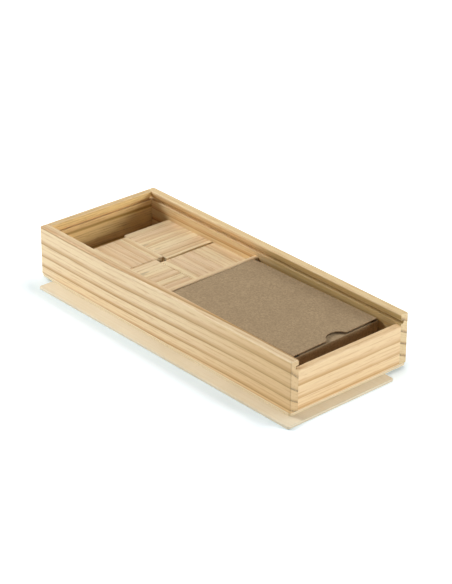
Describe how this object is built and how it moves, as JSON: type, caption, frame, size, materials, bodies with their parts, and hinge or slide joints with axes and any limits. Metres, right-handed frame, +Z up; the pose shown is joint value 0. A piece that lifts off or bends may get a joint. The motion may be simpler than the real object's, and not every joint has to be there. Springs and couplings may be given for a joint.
{
  "type": "domino storage box",
  "caption": "Open wooden storage box with a sliding lid, holding a set of wooden domino tiles stacked on edge in one room and a kraft tuck-end card carton in the other.",
  "frame": {"origin": "on the table, under the middle of the box's own footprint (the lid lies off centre under it)", "axes": "+X along the lid grooves from the closed end to the entry end, +Y from the front wall to the back wall, +Z up"},
  "size_m": [0.2003, 0.0857, 0.0305],
  "materials": {
    "pine_streaked": "sanded pine with wavy latewood streaks, thin satin varnish",
    "pine_warm": "sanded pine with broad soft streaks, thin satin varnish",
    "pine_plain": "pale sanded pine, thin satin varnish",
    "ply_panel": "thin pale plywood, sanded, no varnish",
    "tile_wood": "raw fine-sanded pine, matt",
    "kraft_board": "brown kraft card board, matt with fine fibres",
    "card_stock": "white coated card, satin"
  },
  "bodies": {
    "box": {"front_wall": "pine_streaked", "back_wall": "pine_streaked", "closed_end_wall": "pine_streaked", "entry_end_wall": "pine_warm", "bottom_panel": "ply_panel", "divider": "pine_plain"},
    "lid": {"sliding_lid": "ply_panel"},
    "tile_0_0": {"tile_0_0": "tile_wood"},
    "tile_0_1": {"tile_0_1": "tile_wood"},
    "tile_0_2": {"tile_0_2": "tile_wood"},
    "tile_0_3": {"tile_0_3": "tile_wood"},
    "tile_0_4": {"tile_0_4": "tile_wood"},
    "tile_0_5": {"tile_0_5": "tile_wood"},
    "tile_0_6": {"tile_0_6": "tile_wood"},
    "tile_1_1": {"tile_1_1": "tile_wood"},
    "tile_1_2": {"tile_1_2": "tile_wood"},
    "tile_1_3": {"tile_1_3": "tile_wood"},
    "tile_1_4": {"tile_1_4": "tile_wood"},
    "tile_1_5": {"tile_1_5": "tile_wood"},
    "tile_1_6": {"tile_1_6": "tile_wood"},
    "tile_2_2": {"tile_2_2": "tile_wood"},
    "tile_2_3": {"tile_2_3": "tile_wood"},
    "tile_2_4": {"tile_2_4": "tile_wood"},
    "tile_2_5": {"tile_2_5": "tile_wood"},
    "tile_2_6": {"tile_2_6": "tile_wood"},
    "tile_3_3": {"tile_3_3": "tile_wood"},
    "tile_3_4": {"tile_3_4": "tile_wood"},
    "tile_3_5": {"tile_3_5": "tile_wood"},
    "tile_3_6": {"tile_3_6": "tile_wood"},
    "tile_4_4": {"tile_4_4": "tile_wood"},
    "tile_4_5": {"tile_4_5": "tile_wood"},
    "tile_4_6": {"tile_4_6": "tile_wood"},
    "tile_5_5": {"tile_5_5": "tile_wood"},
    "tile_5_6": {"tile_5_6": "tile_wood"},
    "tile_6_6": {"tile_6_6": "tile_wood"},
    "carton": {"carton_sleeve": "kraft_board", "card_pack": "card_stock"},
    "closure": {"carton_closure": "kraft_board"},
    "tongue": {"carton_tongue": "kraft_board"}
  },
  "joints": [
    {"name": "lid_slide", "type": "slide", "parent": "box", "child": "lid", "axis": [1, 0, 0], "range_m": [0, 0.19]},
    {"name": "carton_lift", "type": "slide", "parent": "box", "child": "carton", "axis": [0, 0, 1], "range_m": [0, 0.035]},
    {"name": "closure_fold", "type": "hinge", "parent": "carton", "child": "closure", "pos_m": [0.08275, 0.00456, 0.0034], "axis": [-0.0262, 0.9997, 0], "range_deg": [0, 28]},
    {"name": "tongue_fold", "type": "hinge", "parent": "closure", "child": "tongue", "pos_m": [0.08275, 0.00456, 0.02165], "axis": [-0.0262, 0.9997, 0], "range_deg": [-28, 0]},
    {"name": "lift_0_0", "type": "slide", "parent": "box", "child": "tile_0_0", "axis": [0, 0, 1], "range_m": [0, 0.03]},
    {"name": "lift_0_1", "type": "slide", "parent": "box", "child": "tile_0_1", "axis": [0, 0, 1], "range_m": [0, 0.03]},
    {"name": "lift_0_2", "type": "slide", "parent": "box", "child": "tile_0_2", "axis": [0, 0, 1], "range_m": [0, 0.03]},
    {"name": "lift_0_3", "type": "slide", "parent": "box", "child": "tile_0_3", "axis": [0, 0, 1], "range_m": [0, 0.03]},
    {"name": "lift_0_4", "type": "slide", "parent": "box", "child": "tile_0_4", "axis": [0, 0, 1], "range_m": [0, 0.03]},
    {"name": "lift_0_5", "type": "slide", "parent": "box", "child": "tile_0_5", "axis": [0, 0, 1], "range_m": [0, 0.03]},
    {"name": "lift_0_6", "type": "slide", "parent": "box", "child": "tile_0_6", "axis": [0, 0, 1], "range_m": [0, 0.03]},
    {"name": "lift_1_1", "type": "slide", "parent": "box", "child": "tile_1_1", "axis": [0, 0, 1], "range_m": [0, 0.03]},
    {"name": "lift_1_2", "type": "slide", "parent": "box", "child": "tile_1_2", "axis": [0, 0, 1], "range_m": [0, 0.03]},
    {"name": "lift_1_3", "type": "slide", "parent": "box", "child": "tile_1_3", "axis": [0, 0, 1], "range_m": [0, 0.03]},
    {"name": "lift_1_4", "type": "slide", "parent": "box", "child": "tile_1_4", "axis": [0, 0, 1], "range_m": [0, 0.03]},
    {"name": "lift_1_5", "type": "slide", "parent": "box", "child": "tile_1_5", "axis": [0, 0, 1], "range_m": [0, 0.03]},
    {"name": "lift_1_6", "type": "slide", "parent": "box", "child": "tile_1_6", "axis": [0, 0, 1], "range_m": [0, 0.03]},
    {"name": "lift_2_2", "type": "slide", "parent": "box", "child": "tile_2_2", "axis": [0, 0, 1], "range_m": [0, 0.03]},
    {"name": "lift_2_3", "type": "slide", "parent": "box", "child": "tile_2_3", "axis": [0, 0, 1], "range_m": [0, 0.03]},
    {"name": "lift_2_4", "type": "slide", "parent": "box", "child": "tile_2_4", "axis": [0, 0, 1], "range_m": [0, 0.03]},
    {"name": "lift_2_5", "type": "slide", "parent": "box", "child": "tile_2_5", "axis": [0, 0, 1], "range_m": [0, 0.03]},
    {"name": "lift_2_6", "type": "slide", "parent": "box", "child": "tile_2_6", "axis": [0, 0, 1], "range_m": [0, 0.03]},
    {"name": "lift_3_3", "type": "slide", "parent": "box", "child": "tile_3_3", "axis": [0, 0, 1], "range_m": [0, 0.03]},
    {"name": "lift_3_4", "type": "slide", "parent": "box", "child": "tile_3_4", "axis": [0, 0, 1], "range_m": [0, 0.03]},
    {"name": "lift_3_5", "type": "slide", "parent": "box", "child": "tile_3_5", "axis": [0, 0, 1], "range_m": [0, 0.03]},
    {"name": "lift_3_6", "type": "slide", "parent": "box", "child": "tile_3_6", "axis": [0, 0, 1], "range_m": [0, 0.03]},
    {"name": "lift_4_4", "type": "slide", "parent": "box", "child": "tile_4_4", "axis": [0, 0, 1], "range_m": [0, 0.03]},
    {"name": "lift_4_5", "type": "slide", "parent": "box", "child": "tile_4_5", "axis": [0, 0, 1], "range_m": [0, 0.03]},
    {"name": "lift_4_6", "type": "slide", "parent": "box", "child": "tile_4_6", "axis": [0, 0, 1], "range_m": [0, 0.03]},
    {"name": "lift_5_5", "type": "slide", "parent": "box", "child": "tile_5_5", "axis": [0, 0, 1], "range_m": [0, 0.03]},
    {"name": "lift_5_6", "type": "slide", "parent": "box", "child": "tile_5_6", "axis": [0, 0, 1], "range_m": [0, 0.03]},
    {"name": "lift_6_6", "type": "slide", "parent": "box", "child": "tile_6_6", "axis": [0, 0, 1], "range_m": [0, 0.03]}
  ],
  "couplings": [
    {"joint": "tongue_fold", "follows": "closure_fold", "ratio": -1}
  ]
}
